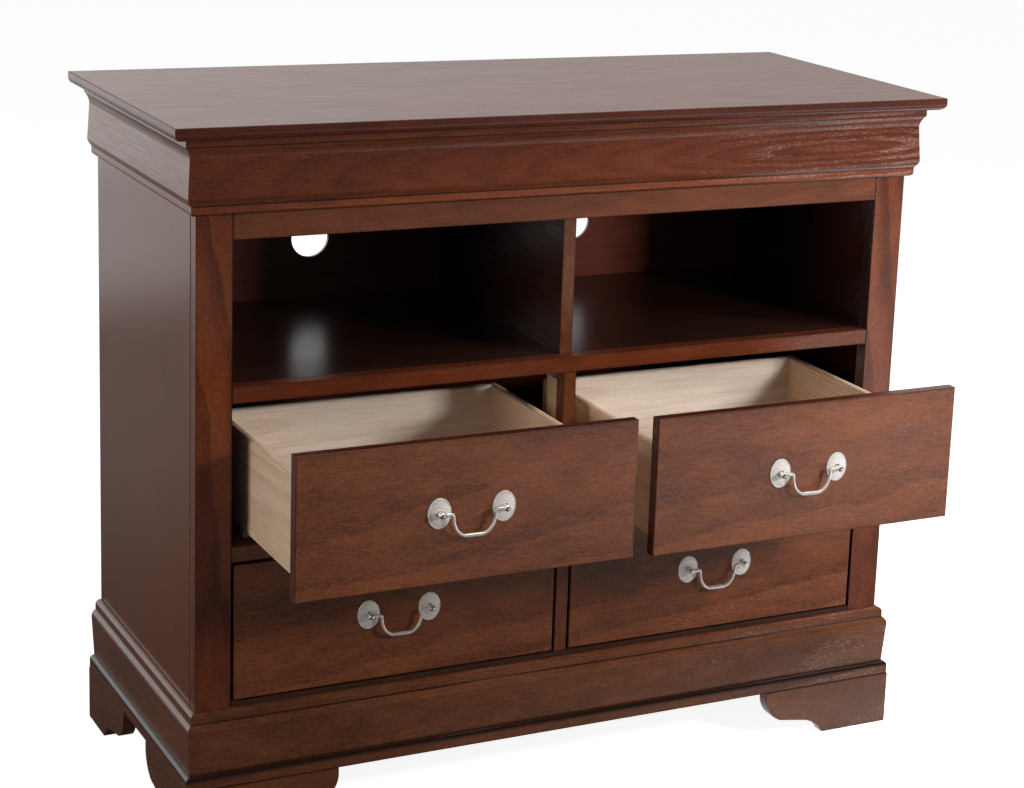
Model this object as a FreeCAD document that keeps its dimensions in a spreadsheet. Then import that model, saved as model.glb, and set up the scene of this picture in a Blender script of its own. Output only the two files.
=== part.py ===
import FreeCAD, Part
import math
import os
import re
from types import SimpleNamespace

import Sketcher
from FreeCAD import Placement, Rotation, Vector

# Low media chest with a moulded crown and base, two open bays over four inset drawers, and
# bracket feet. Millimetres; X to the right, Y to the back, Z up from the floor. Formulas take
# Y = 0 as the front face of the frame, and put() moves every piece back by row_shift, so that
# the origin lies under the middle of the whole object with its upper drawers pulled out.

DRIVING = {
    # Overall sizes of the carcass, without top and mouldings.
    "cabinet_width": 995, "cabinet_depth": 417.5, "cabinet_height": 900,
    # Top board.
    "top_thick": 16.5, "top_front_overhang": 36.5, "top_side_overhang": 36,
    "top_back_overhang": 8.5, "top_under_round": 9, "top_ease": 1.2,
    # Crown moulding: reach is measured out from the carcass, height up from the crown's foot.
    "crown_height": 93.5, "crown_reach": 17.3, "crown_band": 10, "cove_height": 14.5,
    "frieze_head": 10.8, "frieze_foot": 13.9, "frieze_rise": 21.5,
    "crown_bead_reach": 8.5, "crown_bead_height": 12.3, "crown_bead_round": 5.5,
    # Base moulding and feet.
    "base_height": 97.5, "base_reach": 16.5, "plinth_height": 12, "plinth_round": 6,
    "base_foot_reach": 10.3, "base_head_reach": 13.6, "base_cap_height": 23,
    "base_bead_height": 13.5, "base_bead_reach": 8, "base_bead_round": 6.4,
    "foot_height": 72, "foot_reach": 17.5, "front_foot_length": 200, "side_foot_length": 168,
    "front_foot_flat": 104.7, "side_foot_flat": 73, "foot_tip": 10, "foot_brow": 28.6,
    "foot_spring": 22.5, "foot_scroll": 25, "foot_hollow": 31, "block_size": 45, "block_lift": 6,
    # Face frame.
    "stile_width": 45.5, "frame_thick": 20, "top_rail_reveal": 31.7, "shelf_rail_height": 20.3,
    "drawer_rail_height": 20, "bottom_rail_reveal": 6.5, "rail_depth": 60, "centre_width": 17.5,
    "post_depth": 29, "post_drop": 14.4, "edge_ease": 0.7,
    # Panels.
    "panel_thick": 15, "back_thick": 5, "back_inset": 2.5, "shelf_thick": 18,
    "divider_thick": 18, "divider_setback": 16, "divider_groove": 5, "ceiling_thick": 12,
    "cable_hole_size": 54, "cable_hole_spacing": 406, "cable_hole_rise": 83.4,
    # What the drawers run on.
    "rear_rail_depth": 40, "guide_width": 34, "guide_height": 14, "guide_setback": 4,
    "guide_lap": 20, "glide_width": 9, "glide_length": 16, "glide_setback": 30,
    "running_gap": 0.3, "shoe_length": 40, "shoe_wall": 3, "shoe_side_gap": 0.4, "shoe_skirt": 6,
    # Drawers.
    "front_thick": 14.5, "front_side_gap": 3.2, "front_gap_below": 1.5, "front_gap_above": 3.9,
    "front_ease": 1.6, "box_inset": 21.5, "box_rise": 9, "box_drop": 46.5, "box_back_gap": 47.5,
    "box_side_thick": 11, "box_top_round": 3.6, "box_back_thick": 11, "box_bottom_thick": 4,
    "box_bottom_rise": 8, "box_groove": 5,
    # Bail pulls.
    "pull_spacing": 83, "rosette_width": 30, "rosette_height": 38, "rosette_thick": 2.4,
    "rosette_round": 0.8, "post_wall": 0.85, "post_collar": 5.2, "post_collar_height": 1.2,
    "ball_size": 9.6, "ball_reach": 9.5, "bail_size": 4.4, "bail_gap": 0.05, "bail_end": 5.2,
    "bail_drop": 27.9, "bail_shoulder": 14.5, "bail_leg_lean": 2.5, "bail_shoulder_round": 5.5,
    "bail_foot_round": 12, "screw_size": 4, "screw_gap": 0.05, "screw_hole_gap": 0.3,
    "screw_grip": 2.6, "screw_head_size": 8.4, "screw_head_height": 2.6,
    # How far the drawers are pulled out.
    "open_upper_left": 211.3, "open_upper_right": 217, "open_lower_left": 0, "open_lower_right": 0,
}

DERIVED = {
    "half_width": "cabinet_width / 2",
    "half_centre": "centre_width / 2",
    "inner_half": "half_width - panel_thick",
    "opening_half": "half_width - stile_width",
    "opening_width": "opening_half - half_centre",
    "drawer_centre": "half_centre + opening_width / 2",
    "back_face": "cabinet_depth - back_inset - back_thick",
    "crown_top": "cabinet_height - top_thick",
    "crown_foot": "crown_top - crown_height",
    "bay_ceiling": "crown_foot - top_rail_reveal",
    "lower_floor": "foot_height + base_height + bottom_rail_reveal",
    "tier_height": "(bay_ceiling - lower_floor - shelf_rail_height - drawer_rail_height) / 3",
    "lower_ceiling": "lower_floor + tier_height",
    "upper_floor": "lower_ceiling + drawer_rail_height",
    "upper_ceiling": "upper_floor + tier_height",
    "shelf_top": "upper_ceiling + shelf_rail_height",
    "front_width": "opening_width - 2 * front_side_gap",
    "front_height": "tier_height - front_gap_below - front_gap_above",
    "box_half": "front_width / 2 - box_inset",
    "box_depth": "back_face - box_back_gap - front_thick",
    "box_height": "front_height - box_rise - box_drop",
    "box_low": "front_gap_below + box_rise",
    "box_bottom_low": "box_low + box_bottom_rise",
    "shoe_low": "guide_height + running_gap - shoe_skirt",
    "pull_rise": "front_gap_below + front_height / 2",
    "post_neck": "screw_size / 2 + screw_gap + post_wall",
    "widest_opening": "max(max(open_upper_left; open_upper_right);"
                      " max(open_lower_left; open_lower_right))",
    "object_front": "-1 * widest_opening - ball_reach - ball_size / 2",
    "row_shift": "-1 * (object_front + cabinet_depth + top_back_overhang) / 2",
}

SIDES = {"left": -1, "right": 1}
TIERS = ("upper", "lower")
QUARTER = math.sqrt(2) - 1      # bulge of a quarter of a circle

doc = FreeCAD.newDocument("tv_armoire")
nodes = []


# ---------------------------------------------------------------- sheet and formulas

def make_sheet():
    """Write the driving sizes and the sizes worked out from them into one spreadsheet."""
    sheet = doc.addObject("Spreadsheet::Sheet", "Sizes")
    for line, (name, content) in enumerate({**DRIVING, **DERIVED}.items(), start=1):
        sheet.set(f"A{line}", name)
        sheet.set(f"B{line}", f"={content}" if name in DERIVED else str(content))
        sheet.setAlias(f"B{line}", name)
    doc.recompute()
    return SimpleNamespace(**{name: float(sheet.get(name)) for name in {**DRIVING, **DERIVED}})


def bind(thing, path, formula):
    """Bind a property to a formula in the sheet's names."""
    def cell(word):
        known = word.group() in DRIVING or word.group() in DERIVED
        return "Sizes." + word.group() if known else word.group()
    thing.setExpression(path, re.sub(r"[a-z][a-z_]*", cell, formula))


def put(piece, place, turn=0):
    """Place a piece by three formulas, turned about the vertical by turn degrees."""
    piece.Placement = Placement(Vector(), Rotation(Vector(0, 0, 1), turn))
    bind(piece, "Placement.Base.x", place[0])
    bind(piece, "Placement.Base.y", f"{place[1]} + row_shift")
    bind(piece, "Placement.Base.z", place[2])


def node(piece, solids=1):
    """Name a finished piece as one of the parts to be written, with its count of solids."""
    nodes.append((piece, solids))
    return piece


def group(label, members):
    """Gather like pieces, each a solid of its own, under one label."""
    bundle = doc.addObject("Part::Compound", label)
    bundle.Label = label
    bundle.Links = members
    return node(bundle, len(members))


# ---------------------------------------------------------------- shaping

def new_body(label):
    body = doc.addObject("PartDesign::Body", label)
    body.Label = label
    return body


def block(body, kind, span, at=("0", "0", "0")):
    """Add (AdditiveBox) or take away (SubtractiveBox) a box, sized and placed by formulas."""
    box = body.newObject(f"PartDesign::{kind}", f"{body.Label}_box")
    for side, formula in zip(("Length", "Width", "Height"), span):
        bind(box, side, formula)
    for axis, formula in zip("xyz", at):
        bind(box, f"Placement.Base.{axis}", formula)


def edges_on(shape, bound):
    """Names of the edges that lie in one face of the shape's box, such as YMin."""
    level = getattr(shape.BoundBox, bound)
    ends = (bound[0] + "Min", bound[0] + "Max")
    return {f"Edge{number}" for number, edge in enumerate(shape.Edges, start=1)
            if all(abs(getattr(edge.BoundBox, end) - level) < 0.01 for end in ends)}


def ease(body, radius, bounds, but=()):
    """Round the edges in the given faces of the body's box, but those in some others."""
    doc.recompute()
    shape = body.Tip.Shape
    names = set().union(*(edges_on(shape, bound) for bound in bounds))
    names -= set().union(*(edges_on(shape, bound) for bound in but))
    rounding = body.newObject("PartDesign::Fillet", f"{body.Label}_ease")
    rounding.Base = (rounding.BaseFeature, sorted(names))
    bind(rounding, "Radius", radius)


def board(label, span, place, eased=(), radius="edge_ease", but=()):
    """A board whose edges are eased in the given faces of its box, but those in some others."""
    body = new_body(label)
    block(body, "AdditiveBox", span)
    if eased:
        ease(body, radius, eased, but)
    put(body, place)
    return body


def sketch_on(body, role, name):
    """A sketch on one of the body's own origin planes."""
    plane = next(item for item in body.Origin.OriginFeatures if item.Role == role)
    sketch = body.newObject("Sketcher::SketchObject", name)
    sketch.AttachmentSupport = [(plane, "")]
    sketch.MapMode = "FlatFace"
    return sketch


def draw(sketch, *steps, closed=True):
    """Draw lines and arcs from point to point. A third number is the arc's bulge, its rise
    over half its chord, positive to the left of travel."""
    here = Vector(*steps[0][:2])
    for step in steps[1:] + (steps[:1] if closed else ()):
        end = Vector(*step[:2])
        half = (end - here) * 0.5
        if len(step) == 2:
            sketch.addGeometry(Part.LineSegment(here, end))
        else:
            middle = here + half + Vector(-half.y, half.x) * step[2]
            sketch.addGeometry(Part.Arc(here, middle, end))
        here = end


def circle(sketch, across, up, radius):
    """A circle whose centre and radius are bound to formulas."""
    ring = sketch.addGeometry(Part.Circle(Vector(1, 1, 0), Vector(0, 0, 1), 1))
    rules = (("DistanceX", (-1, 1, ring, 3), across), ("DistanceY", (-1, 1, ring, 3), up),
             ("Radius", (ring,), radius))
    for kind, where, formula in rules:
        rule = sketch.addConstraint(Sketcher.Constraint(kind, *where, 1))
        bind(sketch, f"Constraints[{rule}]", formula)


def pad(body, sketch, length, backwards=False):
    padding = body.newObject("PartDesign::Pad", f"{body.Label}_pad")
    padding.Profile = sketch
    padding.Reversed = backwards
    bind(padding, "Length", length)


def pocket(body, sketch, backwards=False, both_ways=False):
    """Cut the sketch right through the body."""
    cut = body.newObject("PartDesign::Pocket", f"{body.Label}_cut")
    cut.Profile = sketch
    cut.Type = "ThroughAll"
    cut.Reversed = backwards
    if both_ways:
        cut.SideType = "Symmetric"


def turned(label, steps):
    """A body turned about its own Y axis from a half outline."""
    body = new_body(label)
    half = sketch_on(body, "XY_Plane", f"{label}_half")
    draw(half, *steps)
    turning = body.newObject("PartDesign::Revolution", f"{label}_turned")
    turning.Profile = half
    turning.ReferenceAxis = (half, ["V_Axis"])
    return body


# ---------------------------------------------------------------- mouldings and feet

def mitre(body, reach, length, start, end):
    """Cut a run's ends at 45 degrees. The run lies along Y, its back at X = 0."""
    spare = 5
    corners = []
    if start:
        corners.append(((-reach - spare, -spare), (spare, reach + spare), (spare, -spare)))
    if end:
        corners.append(((-reach - spare, length + spare), (spare, length - reach - spare),
                        (spare, length + spare)))
    for corner in corners:
        sketch = sketch_on(body, "XY_Plane", f"{body.Label}_mitre")
        draw(sketch, *corner)
        pocket(body, sketch, backwards=True)


def crown_outline():
    """Bead, swept frieze, cove and band, from the crown's foot upwards."""
    band_foot = V.crown_height - V.crown_band
    return ((0, 0), (V.crown_bead_round - V.crown_bead_reach, 0),
            (-V.crown_bead_reach, V.crown_bead_round, QUARTER),
            (-V.crown_bead_reach, V.crown_bead_height),
            (-V.frieze_foot, V.frieze_rise, 0.12),
            (-V.frieze_head, band_foot - V.cove_height),
            (0.3 - V.crown_reach, band_foot, -0.16), (-V.crown_reach, band_foot),
            (-V.crown_reach, V.crown_height), (0, V.crown_height))


def base_outline():
    """Plinth, quarter round, leaning face, ovolo and bead, from the feet upwards."""
    bead_foot = V.base_height - V.base_bead_height
    return ((0, 0), (-V.base_reach, 0), (-V.base_reach, V.plinth_height),
            (V.plinth_round - V.base_reach, V.plinth_height + V.plinth_round, QUARTER),
            (-V.base_foot_reach, V.plinth_height + V.plinth_round),
            (-V.base_head_reach, V.base_height - V.base_cap_height),
            (-V.base_bead_reach, bead_foot, 0.25),
            (-V.base_bead_reach, V.base_height - V.base_bead_round),
            (V.base_bead_round - V.base_bead_reach, V.base_height, QUARTER), (0, V.base_height))


def moulding(kind, outline, level):
    """The front run, mitred at both ends, and the two returns to the back."""
    reach = f"{kind}_reach"
    out = getattr(V, reach)
    front_length = V.cabinet_width + 2 * out
    side_length = V.cabinet_depth + out
    # name, length and its formula, mitre at start, mitre at end, place, turn
    runs = (("front", front_length, f"cabinet_width + 2 * {reach}", True, True,
             (f"half_width + {reach}", "0", level), 90),
            ("left", side_length, f"cabinet_depth + {reach}", True, False,
             ("-1 * half_width", f"-1 * {reach}", level), 0),
            ("right", side_length, f"cabinet_depth + {reach}", False, True,
             ("half_width", "cabinet_depth", level), 180))
    for name, length, formula, start, end, place, turn in runs:
        body = new_body(f"{kind}_{name}")
        sketch = sketch_on(body, "XZ_Plane", f"{body.Label}_outline")
        draw(sketch, *outline)
        pad(body, sketch, formula, backwards=True)
        mitre(body, out, length, start, end)
        put(body, place, turn)
        node(body)


def bracket(label, length, flat, corner_first, mitred):
    """A foot's bracket plate along Y, its back at X = 0 and its corner at one end."""
    body = new_body(label)
    size, sole = getattr(V, length), getattr(V, flat)
    brow_end = size - V.foot_scroll
    outline = [(0, 0), (0, V.foot_height), (size, V.foot_height),
               (size, V.foot_height - V.foot_tip), (brow_end, V.foot_brow, 0.3),
               (sole + V.foot_hollow, V.foot_spring), (sole, 0, -0.22)]
    if not corner_first:
        outline = [(size - step[0], step[1], *(-bulge for bulge in step[2:])) for step in outline]
    sketch = sketch_on(body, "YZ_Plane", f"{label}_outline")
    draw(sketch, *outline)
    pad(body, sketch, "foot_reach", backwards=True)
    if mitred:
        mitre(body, V.foot_reach, size, corner_first, not corner_first)
    return body


def front_foot(side, sign):
    """Two bracket plates mitred at the cabinet's front corner."""
    left = sign < 0
    corner = f"{sign} * (half_width + foot_reach)"
    across = bracket(f"front_plate_{side}", "front_foot_length", "front_foot_flat", not left, True)
    put(across, (corner + (" + front_foot_length" if left else ""), "0", "0"), 90)
    back = bracket(f"side_plate_{side}", "side_foot_length", "side_foot_flat", left, True)
    start = "-1 * foot_reach" if left else "side_foot_length - foot_reach"
    put(back, (f"{sign} * half_width", start, "0"), 0 if left else 180)
    group(f"foot_front_{side}", [across, back])


def back_foot(side, sign):
    """One bracket plate at the back of the cabinet's side."""
    left = sign < 0
    body = bracket(f"foot_back_{side}", "side_foot_length", "side_foot_flat", not left, False)
    start = "cabinet_depth - side_foot_length" if left else "cabinet_depth"
    put(body, (f"{sign} * half_width", start, "0"), 0 if left else 180)
    node(body)


def foot_blocks():
    """A glued block behind the plates of each foot."""
    span = ("block_size", "block_size", "foot_height - block_lift")
    blocks = []
    for side, sign in SIDES.items():
        across = "-1 * half_width" if sign < 0 else "half_width - block_size"
        for end, back in (("front", "0"), ("back", "cabinet_depth - block_size")):
            blocks.append(board(f"block_{end}_{side}", span, (across, back, "block_lift")))
    group("foot_blocks", blocks)


# ---------------------------------------------------------------- carcass

def top_panel():
    """Top board: rounded under its edge on the three sides that show."""
    body = new_body("top_panel")
    depth = "top_front_overhang + cabinet_depth + top_back_overhang"
    block(body, "AdditiveBox", ("cabinet_width + 2 * top_side_overhang", depth, "top_thick"))
    ease(body, "top_under_round", ("ZMin",), but=("YMax",))
    ease(body, "top_ease", ("ZMax",))
    put(body, ("-1 * half_width - top_side_overhang", "-1 * top_front_overhang", "crown_top"))
    node(body)


def side_pieces(side, sign):
    """A stile at the front corner and the side panel behind it."""
    left = sign < 0
    height = "crown_top - foot_height"
    outer = "XMin" if left else "XMax"
    panel_x = "-1 * half_width" if left else "half_width - panel_thick"
    node(board(f"side_panel_{side}", ("panel_thick", "cabinet_depth - frame_thick", height),
               (panel_x, "frame_thick", "foot_height"), (outer,)))
    stile_x = "-1 * half_width" if left else "opening_half"
    node(board(f"stile_{side}", ("stile_width", "frame_thick", height),
               (stile_x, "0", "foot_height"), ("YMin", outer)))


def frame_rails():
    """Rails across the face frame, and the centre stile and post between the drawers."""
    whole = ("-1 * opening_half", "0")
    long_rail = "2 * opening_half"
    node(board("top_rail", (long_rail, "frame_thick", "crown_top - bay_ceiling"),
               whole + ("bay_ceiling",), ("YMin",)))
    node(board("shelf_rail", (long_rail, "frame_thick", "shelf_rail_height"),
               whole + ("upper_ceiling",), ("YMin",)))
    node(board("bottom_rail", (long_rail, "rail_depth", "drawer_rail_height"),
               whole + ("lower_floor - drawer_rail_height",), ("YMin",)))
    node(board("centre_stile", ("centre_width", "frame_thick", "upper_ceiling - lower_floor"),
               ("-1 * half_centre", "0", "lower_floor"), ("YMin",)))
    node(board("centre_post", ("centre_width", "post_depth",
                               "upper_ceiling - post_drop - lower_floor"),
               ("-1 * half_centre", "frame_thick", "lower_floor")))
    span = ("opening_width", "rail_depth", "drawer_rail_height")
    starts = {"left": "-1 * opening_half", "right": "half_centre"}
    group("drawer_rails", [board(f"drawer_rail_{side}", span, (start, "0", "lower_ceiling"),
                                 ("YMin",)) for side, start in starts.items()])


def back_panel():
    """Thin back with a round cable hole into each bay."""
    body = new_body("back_panel")
    block(body, "AdditiveBox", ("2 * inner_half", "back_thick", "crown_top - foot_height"))
    sketch = sketch_on(body, "XZ_Plane", "cable_holes")
    for sign in SIDES.values():
        circle(sketch, f"inner_half + {sign} * cable_hole_spacing / 2",
               "shelf_top + cable_hole_rise - foot_height", "cable_hole_size / 2")
    pocket(body, sketch)
    put(body, ("-1 * inner_half", "back_face", "foot_height"))
    node(body)


def shelf_pieces():
    """Shelf, the divider let into a groove across it, and the ceiling of the bays."""
    deep = "back_face - frame_thick"
    tongue = ("divider_thick", deep, "divider_groove")
    shelf = board("shelf_panel", ("2 * inner_half", deep, "shelf_thick"),
                  ("-1 * inner_half", "frame_thick", "shelf_top - shelf_thick"))
    block(shelf, "SubtractiveBox", tongue,
          ("inner_half - divider_thick / 2", "0", "shelf_thick - divider_groove"))
    node(shelf)
    node(board("ceiling_panel", ("2 * inner_half", deep, "ceiling_thick"),
               ("-1 * inner_half", "frame_thick", "bay_ceiling")))
    divider = board("shelf_divider",
                    ("divider_thick", "back_face - divider_setback", "tier_height"),
                    ("-1 * divider_thick / 2", "divider_setback", "shelf_top"), ("YMin",))
    block(divider, "AdditiveBox", tongue,
          ("0", "frame_thick - divider_setback", "-1 * divider_groove"))
    node(divider)


def running_gear():
    """Rear rails, centre guides and the glides that the drawer sides slide on."""
    rear = "back_face - rear_rail_depth"
    group("rear_rails", [board(f"rear_rail_{tier}",
                               ("2 * inner_half", "rear_rail_depth", "drawer_rail_height"),
                               ("-1 * inner_half", rear, f"{tier}_floor - drawer_rail_height"))
                         for tier in TIERS])
    guide_y = "frame_thick + guide_setback"
    guide_length = f"{rear} + guide_lap - {guide_y}"
    guides, glides = [], []
    for tier in TIERS:
        for side, sign in SIDES.items():
            centre = f"{sign} * drawer_centre"
            guides.append(board(f"guide_{tier}_{side}",
                                ("guide_width", guide_length, "guide_height"),
                                (f"{centre} - guide_width / 2", guide_y, f"{tier}_floor")))
            for edge in SIDES.values():
                middle = f"{centre} + {edge} * (box_half - box_side_thick / 2)"
                glides.append(board(f"glide_{tier}_{side}",
                                    ("glide_width", "glide_length", "box_low - running_gap"),
                                    (f"{middle} - glide_width / 2", "glide_setback",
                                     f"{tier}_floor")))
    group("drawer_guides", guides)
    group("rail_glides", glides)


# ---------------------------------------------------------------- drawers

def drawer_front(name, centre, face, floor):
    """Inset front with eased edges and a screw hole behind each handle post."""
    body = new_body(f"drawer_front_{name}")
    block(body, "AdditiveBox", ("front_width", "front_thick", "front_height"))
    ease(body, "front_ease", ("YMin",))
    sketch = sketch_on(body, "XZ_Plane", f"{name}_screw_holes")
    for sign in SIDES.values():
        circle(sketch, f"front_width / 2 + {sign} * pull_spacing / 2", "front_height / 2",
               "screw_size / 2 + screw_hole_gap")
    pocket(body, sketch)
    put(body, (f"{centre} - front_width / 2", face, f"{floor} + front_gap_below"))
    node(body)


def drawer_side(name, end, sign, centre, behind, floor):
    """A side with its top edges rounded and a groove for the bottom on its inner face."""
    body = new_body(f"box_side_{name}_{end}")
    block(body, "AdditiveBox", ("box_side_thick", "box_depth", "box_height"))
    ease(body, "box_top_round", ("ZMax",), but=("YMin", "YMax"))
    groove_x = "box_side_thick - box_groove" if sign < 0 else "0"
    block(body, "SubtractiveBox", ("box_groove", "box_depth", "box_bottom_thick"),
          (groove_x, "0", "box_bottom_rise"))
    outer = f"{centre} - box_half" if sign < 0 else f"{centre} + box_half - box_side_thick"
    put(body, (outer, behind, f"{floor} + box_low"))
    return body


def drawer_box(name, centre, face, floor):
    """Sides, back and bottom behind the front, and the shoe that runs on the guide."""
    behind = f"{face} + front_thick"
    group(f"box_sides_{name}", [drawer_side(name, end, sign, centre, behind, floor)
                                for end, sign in SIDES.items()])
    inner = "(box_half - box_side_thick)"
    back_height = "box_height - box_bottom_rise - box_bottom_thick"
    node(board(f"box_back_{name}", (f"2 * {inner}", "box_back_thick", back_height),
               (f"{centre} - {inner}", f"{behind} + box_depth - box_back_thick",
                f"{floor} + box_bottom_low + box_bottom_thick"),
               ("ZMax",), "box_top_round", but=("XMin", "XMax")))
    lip = f"({inner} + box_groove)"
    node(board(f"box_bottom_{name}", (f"2 * {lip}", "box_depth", "box_bottom_thick"),
               (f"{centre} - {lip}", behind, f"{floor} + box_bottom_low")))
    guide_shoe(name, centre, behind, floor)


def guide_shoe(name, centre, behind, floor):
    """A channel under the back of the drawer's bottom, astride the centre guide."""
    body = new_body(f"guide_shoe_{name}")
    slot = "(guide_width + 2 * shoe_side_gap)"
    width = f"({slot} + 2 * shoe_wall)"
    block(body, "AdditiveBox", (width, "shoe_length", "box_bottom_low - shoe_low"))
    block(body, "SubtractiveBox", (slot, "shoe_length", "shoe_skirt"), ("shoe_wall", "0", "0"))
    put(body, (f"{centre} - {width} / 2", f"{behind} + box_depth - shoe_length",
               f"{floor} + shoe_low"))
    node(body)


# ---------------------------------------------------------------- handles

def rosette(label):
    """Oval plate behind a post, its front edge rounded."""
    body = new_body(label)
    sketch = sketch_on(body, "XZ_Plane", f"{label}_oval")
    tall, wide = V.rosette_height / 2, V.rosette_width / 2
    sketch.addGeometry(Part.Ellipse(Vector(0, tall, 0), Vector(wide, 0, 0), Vector(0, 0, 0)))
    pad(body, sketch, "rosette_thick")
    ease(body, "rosette_round", ("YMin",))
    hole = sketch_on(body, "XZ_Plane", f"{label}_hole")
    circle(hole, "0", "0", "screw_size / 2 + screw_hole_gap")
    pocket(body, hole, both_ways=True)
    return body


def post(label):
    """Turned post: collar, neck and a ball that the bail's end passes through."""
    ball = V.ball_size / 2
    neck_end = math.sqrt(ball**2 - V.post_neck**2) - V.ball_reach
    collar_front = -V.rosette_thick - V.post_collar_height
    screw_room = V.screw_size / 2 + V.screw_gap
    hole_end = -V.rosette_thick - V.screw_grip - V.running_gap
    sweep = (math.pi - math.asin(V.post_neck / ball)) / 4
    body = turned(label, ((screw_room, -V.rosette_thick), (screw_room, hole_end), (0, hole_end),
                          (0, -V.ball_reach - ball), (V.post_neck, neck_end, -math.tan(sweep)),
                          (V.post_neck, collar_front), (V.post_collar, collar_front),
                          (V.post_collar, -V.rosette_thick)))
    eye = sketch_on(body, "YZ_Plane", f"{label}_eye")
    circle(eye, "-1 * ball_reach", "0", "bail_size / 2 + bail_gap")
    pocket(body, eye, both_ways=True)
    return body


def screw(label):
    """Screw from inside the drawer through the front into the post."""
    shank, head = V.screw_size / 2, V.screw_head_size / 2
    inside, tip = V.front_thick, -V.rosette_thick - V.screw_grip
    return turned(label, ((0, tip), (shank, tip), (shank, inside), (head, inside),
                          (head, inside + V.screw_head_height / 2),
                          (head / 2, inside + V.screw_head_height, -0.3),
                          (0, inside + V.screw_head_height)))


def pull_mounts(name, centre, face, height):
    """Two rosettes, two posts and the screws that hold them."""
    members = []
    for end, sign in SIDES.items():
        place = (f"{centre} + {sign} * pull_spacing / 2", face, height)
        for kind, make in (("rosette", rosette), ("post", post), ("screw", screw)):
            piece = make(f"{kind}_{name}_{end}")
            put(piece, place)
            members.append(piece)
    group(f"pull_mounts_{name}", members)


def bail(name, centre, face, height):
    """Wire swept through both balls, down at the shoulders and across at the foot."""
    body = new_body(f"bail_{name}")
    tip = V.pull_spacing / 2 + V.bail_end
    shoulder = V.pull_spacing / 2 - V.bail_shoulder
    foot = shoulder - V.bail_leg_lean
    corners = [Vector(-tip, 0, 0), Vector(-shoulder, 0, 0), Vector(-foot, -V.bail_drop, 0),
               Vector(foot, -V.bail_drop, 0), Vector(shoulder, 0, 0), Vector(tip, 0, 0)]
    rounds = (V.bail_shoulder_round, V.bail_foot_round, V.bail_foot_round, V.bail_shoulder_round)
    path = sketch_on(body, "XZ_Plane", f"bail_path_{name}")
    draw(path, *rounded_route(corners, rounds), closed=False)
    section = sketch_on(body, "YZ_Plane", f"bail_section_{name}")
    bind(section, "AttachmentOffset.Base.z", "-1 * (pull_spacing / 2 + bail_end)")
    circle(section, "0", "0", "bail_size / 2")
    sweep = body.newObject("PartDesign::AdditivePipe", f"bail_sweep_{name}")
    sweep.Profile = section
    sweep.Spine = (path, [f"Edge{number + 1}" for number in range(len(path.Geometry))])
    put(body, (centre, f"{face} - ball_reach", height))
    node(body)


def rounded_route(corners, rounds):
    """Steps for draw() along straight runs whose corners are arcs of the given radii."""
    steps = [(corners[0].x, corners[0].y)]
    for before, corner, after, radius in zip(corners, corners[1:], corners[2:], rounds):
        arriving, leaving = corner - before, after - corner
        turn = arriving.getAngle(leaving)
        setback = radius * math.tan(turn / 2)
        start = corner - arriving.normalize() * setback
        end = corner + leaving.normalize() * setback
        left = arriving.cross(leaving).z > 0
        steps.append((start.x, start.y))
        steps.append((end.x, end.y, math.tan(turn / 4) * (-1 if left else 1)))
    steps.append((corners[-1].x, corners[-1].y))
    return steps


def drawer(tier, side, sign):
    name = f"{tier}_{side}"
    centre, face, floor = f"{sign} * drawer_centre", f"-1 * open_{name}", f"{tier}_floor"
    drawer_front(name, centre, face, floor)
    drawer_box(name, centre, face, floor)
    pull_mounts(name, centre, face, f"{floor} + pull_rise")
    bail(name, centre, face, f"{floor} + pull_rise")


# ---------------------------------------------------------------- the whole

def build():
    top_panel()
    moulding("crown", crown_outline(), "crown_foot")
    moulding("base", base_outline(), "foot_height")
    for side, sign in SIDES.items():
        side_pieces(side, sign)
        front_foot(side, sign)
        back_foot(side, sign)
    foot_blocks()
    frame_rails()
    back_panel()
    shelf_pieces()
    running_gear()
    for tier in TIERS:
        for side, sign in SIDES.items():
            drawer(tier, side, sign)
    doc.recompute()


def check():
    """Stop on any failed object, empty cut or wrong solid."""
    for item in doc.Objects:
        if {"Invalid", "Error"} & set(item.State):
            raise RuntimeError(f"{item.Label} failed: {item.State}")
        if item.TypeId in ("PartDesign::Pocket", "PartDesign::SubtractiveBox"):
            if item.Shape.Volume > item.BaseFeature.Shape.Volume - 0.1:
                raise RuntimeError(f"{item.Label} cuts nothing")
    for piece, solids in nodes:
        shape = piece.Shape
        if shape.isNull() or not shape.isValid() or len(shape.Solids) != solids:
            raise RuntimeError(f"{piece.Label} has a bad shape")


def write():
    os.makedirs("parts", exist_ok=True)
    for piece, _ in nodes:
        piece.Shape.exportStep(f"parts/{piece.Label}.step")


V = make_sheet()
build()
check()
write()
print(f"{len(nodes)} nodes, {sum(len(piece.Shape.Solids) for piece, _ in nodes)} solids")
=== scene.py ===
import math

import bmesh
import bpy
from mathutils import Matrix, Vector

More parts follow.
